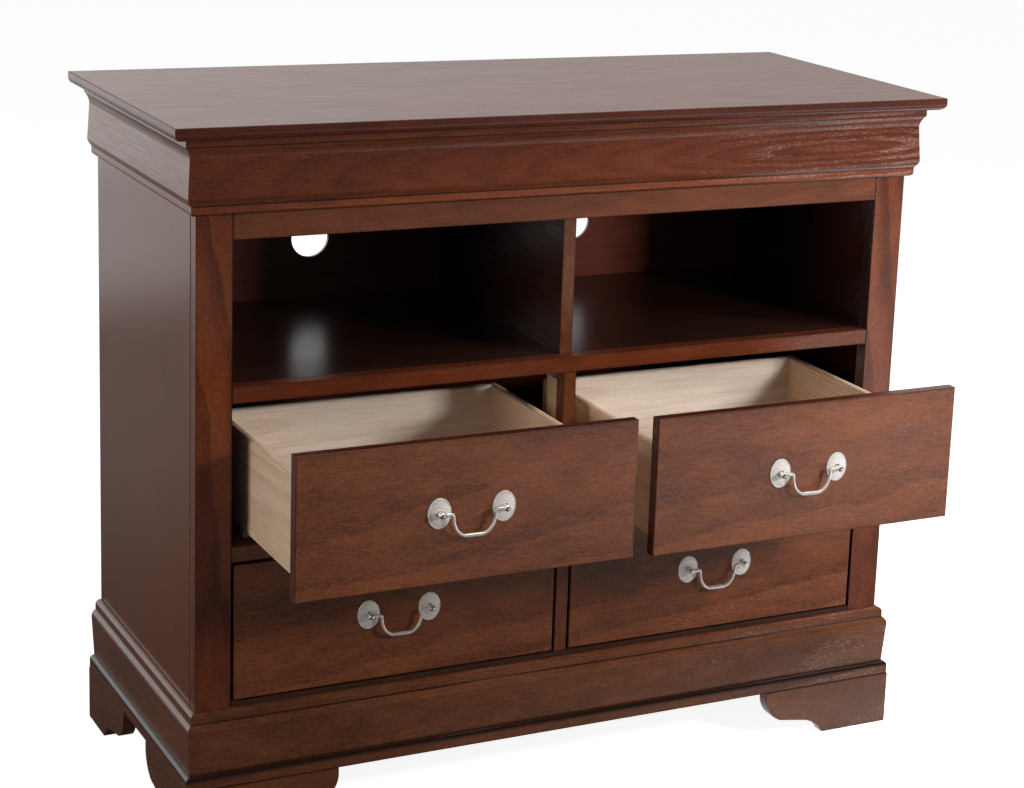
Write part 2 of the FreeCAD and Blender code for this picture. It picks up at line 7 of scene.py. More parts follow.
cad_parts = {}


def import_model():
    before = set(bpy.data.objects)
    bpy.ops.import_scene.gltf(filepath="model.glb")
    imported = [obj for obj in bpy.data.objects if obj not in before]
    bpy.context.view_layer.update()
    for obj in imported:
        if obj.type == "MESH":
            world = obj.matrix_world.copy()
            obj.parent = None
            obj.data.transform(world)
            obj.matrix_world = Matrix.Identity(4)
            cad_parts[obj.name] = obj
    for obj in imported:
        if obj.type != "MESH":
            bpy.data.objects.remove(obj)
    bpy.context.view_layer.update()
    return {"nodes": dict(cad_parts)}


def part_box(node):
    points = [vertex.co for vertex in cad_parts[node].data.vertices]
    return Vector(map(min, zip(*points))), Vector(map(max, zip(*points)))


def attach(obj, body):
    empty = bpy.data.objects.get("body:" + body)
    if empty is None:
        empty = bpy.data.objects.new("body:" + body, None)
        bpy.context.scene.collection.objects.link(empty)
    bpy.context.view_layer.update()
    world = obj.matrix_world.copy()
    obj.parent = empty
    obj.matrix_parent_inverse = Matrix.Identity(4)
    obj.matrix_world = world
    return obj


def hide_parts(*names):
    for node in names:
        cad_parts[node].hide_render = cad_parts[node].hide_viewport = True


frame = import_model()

# A low media chest in stained wood: two open bays over four drawers with nickel bail pulls.
# Metres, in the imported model's frame: X to the right, Y to the back, Z up from the floor.

MM = 0.001
NODES = frame["nodes"]
AXES = {"x": Vector((1, 0, 0)), "y": Vector((0, 1, 0)), "z": Vector((0, 0, 1))}
SIDES = {"left": -1, "right": 1}
DRAWERS = [f"{tier}_{side}" for tier in ("upper", "lower") for side in SIDES]


# ---------------------------------------------------------------- shader nodes

def paint(red, green, blue):
    """A display colour, 0 to 255 a channel, as the linear colour that shaders take."""
    def linear(level):
        level /= 255
        return level / 12.92 if level <= 0.04045 else ((level + 0.055) / 1.055) ** 2.4
    return (linear(red), linear(green), linear(blue), 1)


def feed(tree, node, fed):
    """Set a node's inputs: a number is written in, a node or a socket is linked."""
    for name, value in fed.items():
        if isinstance(value, bpy.types.Node):
            value = next(socket for socket in value.outputs if socket.enabled)
        if isinstance(value, bpy.types.NodeSocket):
            tree.links.new(value, node.inputs[name])
        else:
            node.inputs[name].default_value = value
    return node


def add(tree, kind, fed=None, **settings):
    """Add a shader node of a kind, with its settings and what feeds it."""
    node = tree.nodes.new(f"ShaderNode{kind}")
    for name, value in settings.items():
        setattr(node, name, value)
    return feed(tree, node, fed or {})


def maths(tree, operation, *values):
    return add(tree, "Math", dict(enumerate(values)), operation=operation)


def vector_maths(tree, operation, *values):
    return add(tree, "VectorMath", dict(enumerate(values)), operation=operation)


def spread(tree, value, low, high, to_low=0.0, to_high=1.0):
    """Map a value from low..high to another range, eased at both ends."""
    fed = {"Value": value, "From Min": low, "From Max": high, "To Min": to_low, "To Max": to_high}
    return add(tree, "MapRange", fed, interpolation_type="SMOOTHSTEP")


def mix(tree, factor, first, second):
    """Blend two colours."""
    return add(tree, "Mix", {0: factor, 6: first, 7: second}, data_type="RGBA")


def coordinate(tree, place, axis):
    """One coordinate of a place: X, Y or Z."""
    return add(tree, "SeparateXYZ", {0: place}).outputs[axis]


def noise(tree, place, seed, scale, detail, roughness, warp=0.0):
    """Noise in stretched space: scale holds the cells to a metre along each axis."""
    stretched = vector_maths(tree, "MULTIPLY", place, scale)
    fed = {"Vector": stretched, "W": seed, "Scale": 1, "Detail": detail,
           "Roughness": roughness, "Distortion": warp}
    return add(tree, "TexNoise", fed, noise_dimensions="4D")


def new_group(name, inputs, outputs):
    """A shader node group with named inputs and outputs: its tree and the two ends."""
    tree = bpy.data.node_groups.new(name, "ShaderNodeTree")
    for label, (kind, value) in inputs.items():
        socket = tree.interface.new_socket(label, in_out="INPUT", socket_type=f"NodeSocket{kind}")
        socket.default_value = value
    for label, kind in outputs.items():
        tree.interface.new_socket(label, in_out="OUTPUT", socket_type=f"NodeSocket{kind}")
    return tree, tree.nodes.new("NodeGroupInput").outputs, tree.nodes.new("NodeGroupOutput")


def use(tree, group, **fed):
    """Place a node group; its outputs come back by name."""
    node = tree.nodes.new("ShaderNodeGroup")
    node.node_tree = group
    return feed(tree, node, {name.replace("_", " "): value for name, value in fed.items()}).outputs


# ---------------------------------------------------------------- shared effects

SPACE = {"Vector": ("Vector", (0, 0, 0)), "Seed": ("Float", 0)}
PORE_LIMIT = 0.77       # noise level where the first pores open
PORE_GAIN = 0.26        # how far a full share of pores lowers that level
BLOTCH_SEED = 3         # keeps one board's noises apart
PORE_SEED = 7
SMUDGE_SEED = 9.5


def fibre_group():
    """Streaks along the grain, and the fine flecks between them."""
    tree, given, result = new_group("fibres", SPACE, {"Streaks": "Float", "Fine": "Float"})
    coarse = noise(tree, given["Vector"], given["Seed"], (12, 300, 300), 4, 0.65, 0.2)
    fine = noise(tree, given["Vector"], given["Seed"], (230, 600, 600), 3, 0.7)
    feed(tree, result, {"Streaks": spread(tree, coarse, 0.32, 0.68),
                        "Fine": spread(tree, fine, 0.36, 0.64)})
    return tree


def ring_group():
    """Growth rings cut by a board: Heart is the pith line's place, Taper how it leans."""
    inputs = {**SPACE, "Spacing": ("Float", 0.01), "Heart": ("Vector", (0, 0.05, 0)),
              "Taper": ("Vector", (0, 0.05, 0)), "Wander": ("Float", 0.01)}
    tree, given, result = new_group("growth_rings", inputs, {"Rings": "Float"})
    run = coordinate(tree, given["Vector"], "X")
    lean = add(tree, "VectorMath", {0: given["Taper"], "Scale": run}, operation="SCALE")
    heart = vector_maths(tree, "ADD", given["Heart"], lean)
    across = vector_maths(tree, "MULTIPLY", given["Vector"], (0, 1, 1))
    radius = add(tree, "VectorMath", {0: across, 1: heart}, operation="DISTANCE").outputs["Value"]
    drift = noise(tree, given["Vector"], given["Seed"], (4, 14, 14), 3, 0.55)
    wavy = maths(tree, "MULTIPLY_ADD", drift, given["Wander"], radius)
    saw = maths(tree, "FRACT", maths(tree, "DIVIDE", wavy, given["Spacing"]))
    rise = spread(tree, saw, 0.25, 0.92)
    fall = spread(tree, saw, 0.94, 1.0, 1.0, 0.0)
    feed(tree, result, {"Rings": maths(tree, "MULTIPLY", rise, fall)})
    return tree


def pore_group():
    """Open pores: short dashes along the grain, gathered in patches and in the early wood."""
    inputs = {**SPACE, "Rings": ("Float", 0.5), "Amount": ("Float", 0.5)}
    tree, given, result = new_group("open_pores", inputs, {"Pores": "Float"})
    dashes = noise(tree, given["Vector"], given["Seed"], (220, 1500, 1500), 1, 0.5, 0.3)
    patches = noise(tree, given["Vector"], given["Seed"], (9, 34, 34), 2, 0.5)
    here = spread(tree, patches, 0.36, 0.64, 0.6, 1.0)
    early = spread(tree, given["Rings"], 0.05, 0.6, 1.0, 0.45)
    share = maths(tree, "MULTIPLY", maths(tree, "MULTIPLY", here, early), given["Amount"])
    limit = maths(tree, "MULTIPLY_ADD", share, -PORE_GAIN, PORE_LIMIT)
    over = maths(tree, "SUBTRACT", dashes, limit)
    feed(tree, result, {"Pores": spread(tree, over, 0.0, 0.1)})
    return tree


def blotch_group():
    """Uneven take-up of stain: broad patches, a mottle across the grain and dark smudges."""
    tree, given, result = new_group("stain_blotches", SPACE,
                                    {"Broad": "Float", "Mottle": "Float", "Smudge": "Float"})
    broad = noise(tree, given["Vector"], given["Seed"], (4, 11, 11), 2, 0.5, 0.6)
    mottle = noise(tree, given["Vector"], given["Seed"], (26, 70, 70), 4, 0.65, 0.4)
    smudge = noise(tree, given["Vector"], maths(tree, "ADD", given["Seed"], SMUDGE_SEED),
                   (11, 34, 34), 4, 0.6, 0.3)
    feed(tree, result, {"Broad": spread(tree, broad, 0.32, 0.68),
                        "Mottle": spread(tree, mottle, 0.34, 0.66),
                        "Smudge": spread(tree, smudge, 0.52, 0.7)})
    return tree


def edge_group():
    """How near a point on a box-shaped board is to an edge: 1 on the edge, 0 past Width."""
    inputs = {"Vector": ("Vector", (0, 0, 0)), "Middle": ("Vector", (0, 0, 0)),
              "Half": ("Vector", (1, 1, 1)), "Width": ("Float", 0.004)}
    tree, given, result = new_group("edge_band", inputs, {"Edge": "Float"})
    off = vector_maths(tree, "SUBTRACT", given["Vector"], given["Middle"])
    inside = vector_maths(tree, "SUBTRACT", given["Half"], vector_maths(tree, "ABSOLUTE", off))
    x, y, z = add(tree, "SeparateXYZ", {0: inside}).outputs
    nearest = maths(tree, "MINIMUM", x, y)
    second = maths(tree, "MINIMUM", maths(tree, "MAXIMUM", x, y), z)
    middle = maths(tree, "MAXIMUM", nearest, second)
    feed(tree, result, {"Edge": spread(tree, middle, 0.0, given["Width"], 1.0, 0.0)})
    return tree


def glaze_and_shade_group():
    """A dark line along a moulding, 1 at the height Level and 0 past Width: partly glazing wiped
    into its corner, partly painted shade there.
    """
    inputs = {"Vector": ("Vector", (0, 0, 0)), "Level": ("Float", 0), "Width": ("Float", 0.001)}
    tree, given, result = new_group("glaze_line", inputs, {"Line": "Float"})
    height = coordinate(tree, given["Vector"], "Z")
    off = maths(tree, "ABSOLUTE", maths(tree, "SUBTRACT", height, given["Level"]))
    feed(tree, result, {"Line": spread(tree, off, 0.0, given["Width"], 1.0, 0.0)})
    return tree


FIBRES = fibre_group()
RINGS = ring_group()
PORES = pore_group()
BLOTCHES = blotch_group()
EDGES = edge_group()
GLAZE_AND_SHADE_LINE = glaze_and_shade_group()


# ---------------------------------------------------------------- wood

# Stains: the darkest and the lightest part of the figure.
FRONT_STAIN = (paint(80, 38, 20), paint(140, 78, 44))
RED_STAIN = (paint(69, 28, 14), paint(117, 56, 30))
FRAME_STAIN = (paint(75, 35, 19), paint(123, 67, 39))
BASE_STAIN = (paint(69, 36, 21), paint(122, 70, 42))
QUIET_STAIN = (paint(94, 44, 24), paint(122, 61, 34))
FIGURED_STAIN = (paint(76, 31, 16), paint(136, 68, 35))
SIDE_STAIN = (paint(104, 53, 27), paint(127, 67, 35))
DARK_STAIN = (paint(72, 34, 27), paint(108, 56, 44))
BACK_STAIN = (paint(92, 46, 37), paint(126, 67, 53))
SHELF_STAIN = (paint(38, 20, 16), paint(66, 39, 30))
# The bottom rail's much darker stain is partly painted shade, where it sits under the lower
# drawers.
SHADED_RAIL_STAIN = (paint(34, 20, 14), paint(70, 44, 31))
# The same for the part of a board that differs: a bead, a bay's lining, an edge. The bead's
# lighter tones are a painted highlight, the light its rounded top catches from above.
LIT_BEAD_TONES = (paint(86, 36, 17), paint(140, 70, 36))
LINING_TONES = (paint(44, 22, 17), paint(70, 37, 29))
EDGE_TONES = (paint(52, 20, 11), paint(92, 40, 24))
# Single tones laid over the figure.
SMUDGE_STAIN = paint(58, 30, 18)
EDGE_STAIN = paint(46, 16, 10)
# Dark glazing and seams, partly painted shade in corners and gaps.
GLAZE_AND_SHADE_STAIN = paint(22, 11, 9)
# Pale pore fill: a painted glint, where open pores catch the key light.
PORE_GLINT_TONE = paint(190, 158, 152)
# Unfinished wood: the lightest and the darkest part of the figure.
DRAWER_WOOD = (paint(250, 239, 224), paint(220, 192, 167))
# The box sides take a warmer, deeper copy of the drawer wood: painted warm bounce light in their
# shade.
WARM_SHADED_DRAWER_WOOD = (paint(250, 221, 192), paint(214, 171, 136))
RAW_WOOD = (paint(222, 196, 164), paint(184, 150, 112))

LIP = 1.2 * MM              # how far the face finish wraps round an edge
EDGE_WEAR = 2.4 * MM        # how far the darker edges reach into a face
BLUR = 0.4 * MM             # half width of the line between two tones on one board
PORE_DEPTH = 0.2 * MM
FIBRE_DEPTH = 0.1 * MM
RING_DRIFT = 1.6            # how far the growth rings wander, in spacings
# Pores, and the painted glints in them, grow towards the right, where the key light falls.
PORE_GLINTS_FROM, PORE_GLINTS_TO = -0.2, 0.42       # X where open pores begin and reach their full share


def new_material(name):
    """An empty material with a Principled shader: its tree, shader and object coordinates."""
    material = bpy.data.materials.new(name)
    material.use_nodes = True
    tree = material.node_tree
    tree.nodes.clear()
    shader = add(tree, "BsdfPrincipled")
    add(tree, "OutputMaterial", {"Surface": shader})
    return material, tree, shader, add(tree, "TexCoord").outputs["Object"]


def board_space(tree, place, box, grain, face):
    """Object coordinates from the board's middle, the grain along X and the face across Y."""
    turn = Matrix((AXES[grain], AXES[face], AXES[grain].cross(AXES[face])))
    middle = turn @ ((box[0] + box[1]) / 2)
    return add(tree, "Mapping", {"Vector": place, "Location": -middle,
                                 "Rotation": turn.to_euler()})


def weigh(tree, base, *parts):
    """A base number plus each part times its weight."""
    total = base
    for value, weight in parts:
        total = maths(tree, "MULTIPLY_ADD", value, weight, total)
    return total


def beyond(tree, place, axis, level, side):
    """1 where a point lies past a level along an axis, towards side (1 or -1)."""
    along = coordinate(tree, place, axis)
    return spread(tree, maths(tree, "MULTIPLY", maths(tree, "SUBTRACT", along, level), side),
                  -BLUR, BLUR)


def board_material(finish, node, grain, face, seed):
    """A board's new material, and the grain space, fibres and blotches that all finishes use."""
    material, tree, shader, place = new_material(f"{finish}_{node}")
    space = board_space(tree, place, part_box(node), grain, face)
    fibres = use(tree, FIBRES, Vector=space, Seed=seed)
    blotches = use(tree, BLOTCHES, Vector=space, Seed=seed + BLOTCH_SEED)
    return material, tree, shader, place, space, fibres, blotches


def stained(node, grain, face, seed, wood, heart=(0.09, 0.02), taper=(0.06, 0.04),
            spacing=0.02, rings=0.12, pores=0.8, past=None, tones=LINING_TONES, glaze_and_shade=(),
            joint=None, gloss=(0.26, 0.33), relief=0.2):
    """Stained and lacquered wood on one board. heart, taper and spacing place the growth rings,
    rings and pores weigh them; the pores' pale fill is a painted glint, which grows towards
    the right, where the key light falls. past is (axis, level, side): the part of the board
    past that level takes other tones, as where it faces a bay. A list of dark lines gives the
    height and half width of each line, partly glazing and partly painted shade in the
    mouldings' corners, and joint is (axis, level, side) of a dull dark seam, painted shade in
    the gap of the joint. gloss is the least and the most roughness, and relief the strength of
    the bump."""
    material, tree, shader, place, space, fibres, blotches = board_material(
        "stained", node, grain, face, seed)
    low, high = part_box(node)
    ring = use(tree, RINGS, Vector=space, Seed=seed, Spacing=spacing, Heart=(0, *heart),
               Taper=(0, *taper), Wander=spacing * RING_DRIFT)["Rings"]
    # The pores' share, and so their painted glints, grows towards the right under the key light.
    right = spread(tree, coordinate(tree, place, "X"), PORE_GLINTS_FROM, PORE_GLINTS_TO, 0.0, pores)
    pore = use(tree, PORES, Vector=space, Seed=seed + PORE_SEED, Rings=ring,
               Amount=right)["Pores"]
    edge = use(tree, EDGES, Vector=place, Middle=(low + high) / 2, Half=(high - low) / 2,
               Width=EDGE_WEAR)["Edge"]
    tone = weigh(tree, -0.02, (fibres["Streaks"], 0.08), (blotches["Broad"], 0.26),
                 (blotches["Mottle"], 0.2), (ring, -rings), (fibres["Fine"], 0.62))
    colour = mix(tree, tone, *wood)
    colour = mix(tree, maths(tree, "MULTIPLY", blotches["Smudge"], 0.3), colour, SMUDGE_STAIN)
    if past:
        colour = mix(tree, beyond(tree, place, *past), colour, mix(tree, tone, *tones))
    colour = mix(tree, maths(tree, "MULTIPLY", edge, 0.7), colour, EDGE_STAIN)
    # Painted glints in the open pores.
    colour = mix(tree, maths(tree, "MULTIPLY", pore, 0.4), colour, PORE_GLINT_TONE)
    # Dark lines: partly glazing, partly painted shade in the mouldings' corners.
    for level, width in glaze_and_shade:
        line = use(tree, GLAZE_AND_SHADE_LINE, Vector=place, Level=level, Width=width)["Line"]
        colour = mix(tree, line, colour, GLAZE_AND_SHADE_STAIN)
    height = weigh(tree, 0.0, (pore, -1.0), (fibres["Fine"], 0.35))
    bump = add(tree, "Bump", {"Height": height, "Strength": relief, "Distance": PORE_DEPTH})
    rough = spread(tree, fibres["Streaks"], 0.0, 1.0, *gloss)
    rough = maths(tree, "MAXIMUM", rough, maths(tree, "MULTIPLY", edge, 0.7))
    # The seam is painted shade in the gap where two boards meet.
    if joint:
        seam = beyond(tree, place, *joint)
        colour = mix(tree, seam, colour, GLAZE_AND_SHADE_STAIN)
        rough = maths(tree, "MAXIMUM", rough, seam)
    feed(tree, shader, {"Base Color": colour, "Roughness": rough, "Normal": bump})
    return material


def dark(node, grain, face, seed, tones):
    """Dark stained board inside the bays, with a satin lacquer."""
    material, tree, shader, _, _, fibres, blotches = board_material(
        "dark", node, grain, face, seed)
    tone = weigh(tree, 0.0, (fibres["Streaks"], 0.3), (blotches["Broad"], 0.4),
                 (fibres["Fine"], 0.3))
    bump = add(tree, "Bump", {"Height": fibres["Fine"], "Strength": 0.15,
                              "Distance": FIBRE_DEPTH})
    rough = spread(tree, fibres["Streaks"], 0.0, 1.0, 0.2, 0.25)
    feed(tree, shader, {"Base Color": mix(tree, tone, *tones), "Roughness": rough,
                        "Normal": bump})
    return material


def pale(node, grain, face, seed, tones):
    """Unfinished wood with fine straight grain."""
    material, tree, shader, _, space, fibres, blotches = board_material(
        "pale", node, grain, face, seed)
    rings = use(tree, RINGS, Vector=space, Seed=seed, Spacing=4.5 * MM, Heart=(0, 0.12, 0.03),
                Taper=(0, 0.01, 0.01), Wander=3 * MM)["Rings"]
    tone = weigh(tree, 0.0, (fibres["Streaks"], 0.36), (rings, 0.26), (fibres["Fine"], 0.2),
                 (blotches["Broad"], 0.12))
    bump = add(tree, "Bump", {"Height": fibres["Fine"], "Strength": 0.3,
                              "Distance": PORE_DEPTH})
    feed(tree, shader, {"Base Color": mix(tree, tone, *tones), "Roughness": 0.7,
                        "Specular IOR Level": 0.3, "Normal": bump})
    return material


def finish_node(node, material):
    """Give a CAD node its finish."""
    for slot in NODES[node].material_slots:
        slot.material = material


def grain_of(node):
    """Which way a board's grain runs, and the axis across its face."""
    if node.startswith(("crown_", "base_")):
        return ("x", "y") if node.endswith("front") else ("y", "x")
    if node.startswith(("stile", "centre_stile", "foot_blocks", "centre_post")):
        return "z", "y"
    if node.startswith("side_panel"):
        return "z", "x"
    if node in ("top_panel", "shelf_panel", "ceiling_panel") or node.startswith("box_bottom"):
        return "x", "z"
    if node.startswith(("box_sides", "shelf_divider", "drawer_guides", "foot_back")):
        return "y", "x"
    return "x", "y"


PLAIN_BOARDS = {"shelf_rail": RED_STAIN, "top_rail": FRAME_STAIN, "centre_stile": FRAME_STAIN,
                "drawer_rails": FRAME_STAIN}
BAY_BOARDS = {"shelf_panel": SHELF_STAIN, "ceiling_panel": DARK_STAIN, "back_panel": BACK_STAIN}
RAW_BOARDS = ("centre_post", "foot_blocks", "rear_rails", "drawer_guides")
NYLON_PIECES = ("guide_shoe", "rail_glides")
PULL_PIECES = ("pull_mounts", "bail")

# Dark lines along the mouldings, partly glazing and the foot's joint, partly painted shade in
# their corners and on the lower half of the crown's bead: height and half width of each line.
CROWN_LINES = ((0.8735, 1.6 * MM), (0.8023, 1.6 * MM), (0.79, 4 * MM))
BASE_LINES = ((0.156, 1.6 * MM), (0.0875, 7 * MM), (0.072, 1.6 * MM))
# Below this the crown's bead takes lighter tones: a painted highlight.
CROWN_BEAD = 0.801          # top of the bead under the crown's frieze
FACE_RELIEF, RETURN_RELIEF = 0.2, 0.015
RETURN_PORES = 0.6


def wood_finish(node, seed):
    """The finish of a board, by its node's name."""
    board = (node, *grain_of(node), seed)
    low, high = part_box(node)
    side = SIDES.get(node.rpartition("_")[2])
    ahead = node.endswith("_front")
    relief = FACE_RELIEF if ahead else RETURN_RELIEF
    if node.startswith("box_sides"):
        return pale(*board, WARM_SHADED_DRAWER_WOOD)
    if node.startswith("box_"):
        return pale(*board, DRAWER_WOOD)
    if node in RAW_BOARDS:
        return pale(*board, RAW_WOOD)
    if node in BAY_BOARDS:
        return dark(*board, BAY_BOARDS[node])
    if node in PLAIN_BOARDS:
        return stained(*board, PLAIN_BOARDS[node])
    if node == "top_panel":
        return stained(*board, QUIET_STAIN, pores=0.0, past=("Z", high.z - LIP, -1),
                       tones=EDGE_TONES, relief=0.04)
    if node.startswith("side_panel"):
        wood = SIDE_STAIN if side < 0 else QUIET_STAIN
        return stained(*board, wood, pores=0.0, past=("X", (low.x + high.x) / 2, -side),
                       joint=("Y", low.y + 2 * LIP, -1), gloss=(0.15, 0.18), relief=0.03)
    if node.startswith("crown"):
        wood, pores = (RED_STAIN, 1.3) if ahead else (QUIET_STAIN, RETURN_PORES)
        return stained(*board, wood, heart=(0.03, -0.01), taper=(-0.09, 0.02), spacing=8 * MM,
                       rings=0.16, pores=pores, past=("Z", CROWN_BEAD, -1), tones=LIT_BEAD_TONES,
                       glaze_and_shade=CROWN_LINES, relief=relief)
    if node.startswith("base"):
        return stained(*board, BASE_STAIN, pores=1.0 if ahead else RETURN_PORES,
                       glaze_and_shade=BASE_LINES, relief=relief)
    if node.startswith("foot"):
        return stained(*board, BASE_STAIN, pores=1.0)
    if node == "bottom_rail":
        return stained(*board, SHADED_RAIL_STAIN, pores=0.2, gloss=(0.5, 0.6))
    if node == "shelf_divider":
        return stained(*board, BASE_STAIN, past=("Y", low.y + LIP, 1))
    if node.startswith("drawer_front"):
        return stained(*board, FRONT_STAIN, spacing=30 * MM, rings=0.24,
                       past=("Y", low.y + LIP, 1), tones=EDGE_TONES)
    inner = (high.x - LIP) if side < 0 else (low.x + LIP)
    return stained(*board, FIGURED_STAIN, heart=(0.02, 0.03), taper=(0.02, 0.12),
                   spacing=35 * MM, rings=0.42, past=("X", inner, -side))


for seed, node in enumerate(sorted(NODES)):
    if not node.startswith(NYLON_PIECES + PULL_PIECES):
        finish_node(node, wood_finish(node, seed))


# ---------------------------------------------------------------- metal and nylon

NICKEL_TONES = (paint(255, 250, 244), paint(241, 231, 221))
NYLON_TONES = (paint(226, 222, 210), paint(214, 208, 192))


def nickel(name, roughness, metallic):
    """Brushed nickel with a little grime."""
    material, tree, shader, place = new_material(name)
    grime = noise(tree, place, 2.0, (220, 220, 220), 3, 0.6)
    brushed = noise(tree, place, 5.0, (900, 900, 2600), 2, 0.5)
    colour = mix(tree, spread(tree, grime, 0.35, 0.7), *NICKEL_TONES)
    rough = spread(tree, brushed, 0.3, 0.7, roughness - 0.05, roughness + 0.06)
    bump = add(tree, "Bump", {"Height": brushed, "Strength": 0.15, "Distance": FIBRE_DEPTH})
    feed(tree, shader, {"Base Color": colour, "Metallic": metallic, "Roughness": rough,
                        "Normal": bump})
    return material


def nylon():
    """Off-white moulded nylon, faintly clouded."""
    material, tree, shader, place = new_material("nylon")
    cloud = noise(tree, place, 1.0, (120, 120, 120), 2, 0.5)
    colour = mix(tree, spread(tree, cloud, 0.3, 0.7), *NYLON_TONES)
    feed(tree, shader, {"Base Color": colour, "Roughness": 0.45})
    return material


PLATE_NICKEL = nickel("nickel_plate", roughness=0.42, metallic=0.45)
WIRE_NICKEL = nickel("nickel_wire", roughness=0.3, metallic=0.7)
POLISHED_NICKEL = nickel("nickel_post", roughness=0.22, metallic=1.0)
NYLON = nylon()
for node in NODES:
    if node.startswith(NYLON_PIECES):
        finish_node(node, NYLON)


# ---------------------------------------------------------------- pulls

ROSETTE_WIDTH, ROSETTE_HEIGHT = 30 * MM, 38 * MM
BALL_RADIUS = 4.3 * MM
NECK_RADIUS = 2.7 * MM      # where the neck runs into the ball
EYE_RADIUS = 2.2 * MM
SHANK_RADIUS, SHANK_REACH = 2 * MM, 2.4 * MM
MERGE_DISTANCE = 0.01 * MM


def millimetres(points):
    return [tuple(value * MM for value in point) for point in points]


def arc(middle, radius, start, end, steps):
    """Points on an arc in the (radius, reach) plane; 0 degrees points away from the drawer."""
    turns = [math.radians(start + (end - start) * step / steps) for step in range(steps + 1)]
    return [(middle[0] + radius * math.sin(turn), middle[1] + radius * math.cos(turn))
            for turn in turns]


def spun(outline, steps):
    """A closed shape spun about the Y axis from (radius, reach) points, axis to axis."""
    shape = bmesh.new()
    verts = [shape.verts.new((radius, -reach, 0)) for radius, reach in outline]
    edges = [shape.edges.new(pair) for pair in zip(verts, verts[1:])]
    bmesh.ops.spin(shape, geom=verts + edges, cent=(0, 0, 0), axis=(0, 1, 0),
                   angle=math.tau, steps=steps, use_merge=True)
    bmesh.ops.remove_doubles(shape, verts=shape.verts, dist=MERGE_DISTANCE)
    bmesh.ops.recalc_face_normals(shape, faces=shape.faces)
    return shape


def pair_up(shape, spacing):
    """Two of a shape, side by side at a spacing."""
    first = shape.verts[:]
    twin = bmesh.ops.duplicate(shape, geom=first + shape.edges[:] + shape.faces[:])["geom"]
    second = [part for part in twin if isinstance(part, bmesh.types.BMVert)]
    bmesh.ops.translate(shape, verts=first, vec=(-spacing / 2, 0, 0))
    bmesh.ops.translate(shape, verts=second, vec=(spacing / 2, 0, 0))
    return shape


def mount(shape, name, middle, material, drawer):
    """Make a bmesh a smooth piece at its place on a drawer."""
    bmesh.ops.translate(shape, verts=shape.verts, vec=middle)
    mesh = bpy.data.meshes.new(f"{name}_{drawer}")
    shape.to_mesh(mesh)
    shape.free()
    return finish_piece(mesh, name, material, drawer, f"drawer_{drawer}")


def finish_piece(mesh, name, material, drawer, body):
    """Make a mesh a smooth nickel piece that rides a body."""
    for face in mesh.polygons:
        face.use_smooth = True
    mesh.materials.append(material)
    piece = bpy.data.objects.new(f"{name}_{drawer}", mesh)
    bpy.context.scene.collection.objects.link(piece)
    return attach(piece, body)


def rosettes(drawer, middle, spacing):
    """Oval plates with a thin raised line inside the rim."""
    rim = millimetres([(0, 0), (18.6, 0), (19, 0.5), (18.9, 1.0), (18.5, 1.4), (17.9, 1.55),
                       (17.4, 1.5), (17.1, 1.25), (16.8, 1.2), (16.4, 1.35), (14, 1.65),
                       (10, 2.05), (6, 2.3), (0, 2.4)])
    shape = spun(rim, steps=64)
    bmesh.ops.scale(shape, vec=(ROSETTE_WIDTH / ROSETTE_HEIGHT, 1, 1), verts=shape.verts)
    piece = mount(pair_up(shape, spacing), "rosettes", middle, PLATE_NICKEL, drawer)
    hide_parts(f"pull_mounts_{drawer}")


def posts(drawer, middle, spacing, reach):
    """Turned posts: a collar, a neck and a ball whose eye the bail passes through."""
    foot = millimetres([(0, 1.8), (4.2, 1.8), (4.6, 2.4), (4.5, 3.0), (3.9, 3.4), (3.0, 3.6),
                        (2.6, 4.2), (2.6, 5.2)])
    neck = math.degrees(math.asin(NECK_RADIUS / BALL_RADIUS))
    ball = arc((0, reach), BALL_RADIUS, 180 - neck, 0, steps=14)
    shape = pair_up(spun(foot + ball, steps=40), spacing)
    piece = mount(shape, "posts", middle, POLISHED_NICKEL, drawer)
    drill_eyes(piece, middle + Vector((0, -reach, 0)), spacing)
    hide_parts(f"pull_mounts_{drawer}")


def drill_eyes(piece, middle, spacing):
    """Cut one hole along X through both balls."""
    drill = bmesh.new()
    length = spacing + 4 * BALL_RADIUS
    lie = Matrix.Translation(middle) @ Matrix.Rotation(math.pi / 2, 4, "Y")
    bmesh.ops.create_cone(drill, cap_ends=True, segments=32, radius1=EYE_RADIUS,
                          radius2=EYE_RADIUS, depth=length, matrix=lie)
    mesh = bpy.data.meshes.new("drill")
    drill.to_mesh(mesh)
    drill.free()
    cutter = bpy.data.objects.new("drill", mesh)
    bpy.context.scene.collection.objects.link(cutter)
    cut = piece.modifiers.new("eyes", "BOOLEAN")
    cut.operation = "DIFFERENCE"
    cut.solver = "EXACT"
    cut.object = cutter
    bake(piece)
    bpy.data.objects.remove(cutter)


def bake(piece):
    """Keep the mesh that a piece's modifiers make, and drop the modifiers."""
    view = bpy.context.evaluated_depsgraph_get()
    made = bpy.data.meshes.new_from_object(piece.evaluated_get(view))
    piece.modifiers.clear()
    piece.data = made


def screws(drawer, middle, spacing, thick):
    """Pan-head screws from inside the drawer into the posts."""
    head = millimetres([(4.2, 0), (4.2, -1.3), (3.6, -2.1), (2.4, -2.6), (0, -2.6)])
    shank = [(0, SHANK_REACH), (SHANK_RADIUS, SHANK_REACH), (SHANK_RADIUS, -thick)]
    outline = shank + [(radius, reach - thick) for radius, reach in head]
    shape = pair_up(spun(outline, steps=32), spacing)
    mount(shape, "screws", middle, POLISHED_NICKEL, drawer)


